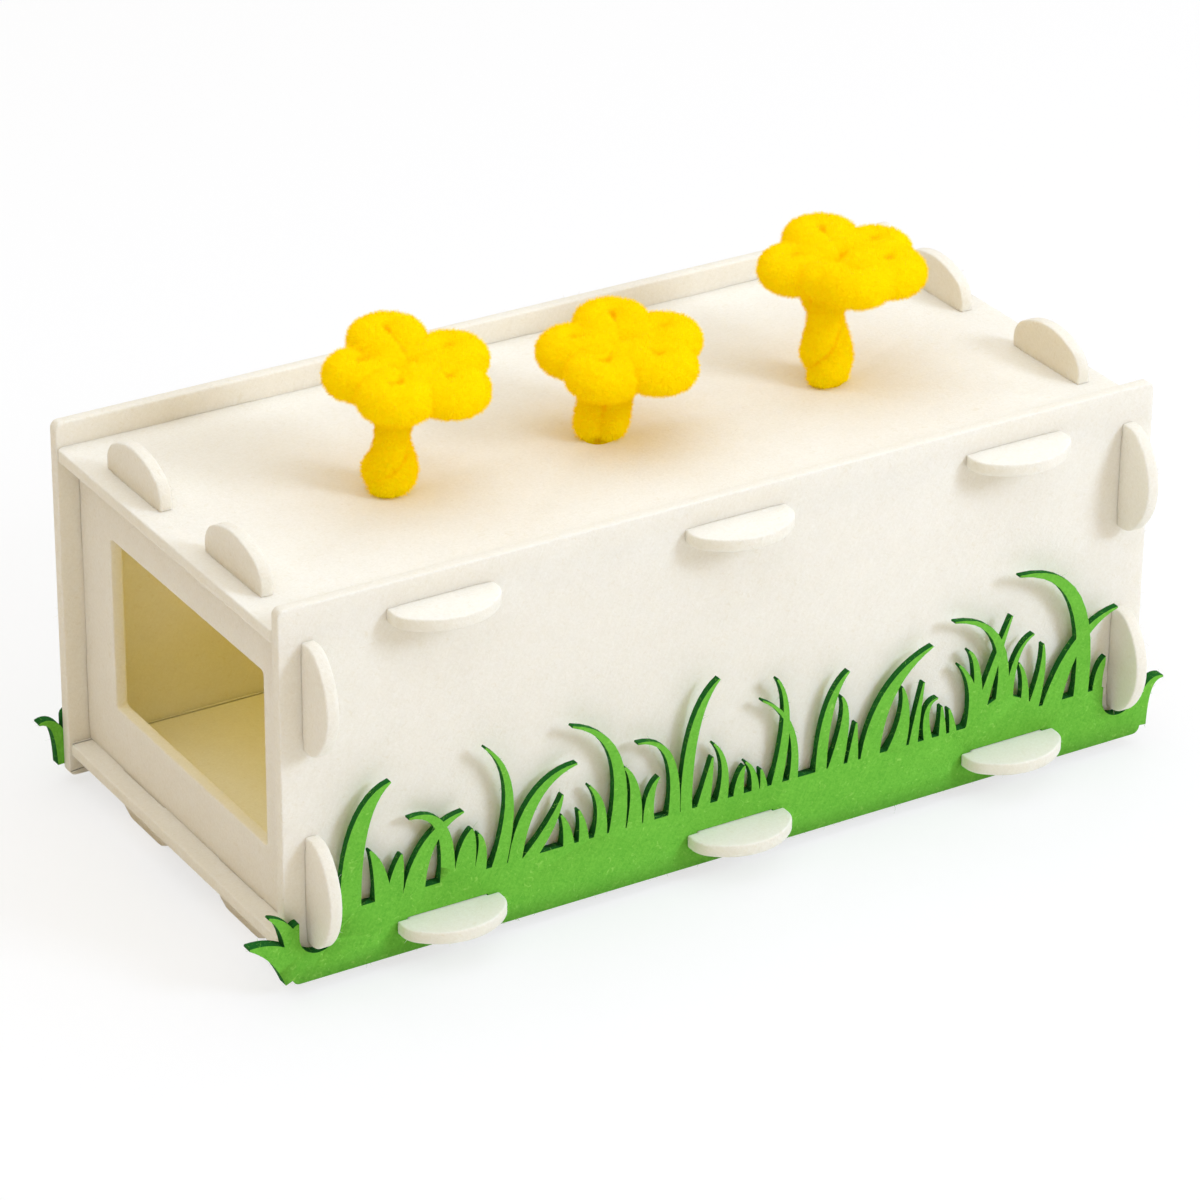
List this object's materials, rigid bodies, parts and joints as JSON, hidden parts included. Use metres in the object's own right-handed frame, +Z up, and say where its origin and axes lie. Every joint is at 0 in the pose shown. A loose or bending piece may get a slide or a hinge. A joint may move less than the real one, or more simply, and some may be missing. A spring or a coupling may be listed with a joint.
{
  "type": "small animal hideout",
  "caption": "Slot-together felt box hideout with an open doorway at each end, cut-out felt grass along its walls and chenille flowers standing on its flat roof.",
  "frame": {"origin": "on the table, below the middle of the house", "axes": "+X along the house, -Y towards the front wall, +Z up"},
  "size_m": [0.2618, 0.144, 0.1262],
  "materials": {
    "cream_felt": "matt needle felt",
    "green_felt": "matt needle felt, dark at its cut edges",
    "yellow_chenille": "short pile round a twisted wire"
  },
  "bodies": {
    "house": {"front_wall": "cream_felt", "back_wall": "cream_felt", "roof_panel": "cream_felt", "floor_panel": "cream_felt", "left_end_frame": "cream_felt", "right_end_frame": "cream_felt", "front_grass": "green_felt", "back_grass": "green_felt"},
    "left_flower": {"left_flower": "yellow_chenille"},
    "middle_flower": {"middle_flower": "yellow_chenille"},
    "right_flower": {"right_flower": "yellow_chenille"}
  },
  "joints": [
    {"name": "left_flower_swivel", "type": "hinge", "parent": "house", "child": "left_flower", "pos_m": [-0.063, -0.005, 0.09225], "axis": [0, 0, 1], "continuous": true},
    {"name": "middle_flower_swivel", "type": "hinge", "parent": "house", "child": "middle_flower", "pos_m": [-0.006, -0.0055, 0.09225], "axis": [0, 0, 1], "continuous": true},
    {"name": "right_flower_swivel", "type": "hinge", "parent": "house", "child": "right_flower", "pos_m": [0.0595, -0.0065, 0.09225], "axis": [0, 0, 1], "continuous": true}
  ]
}
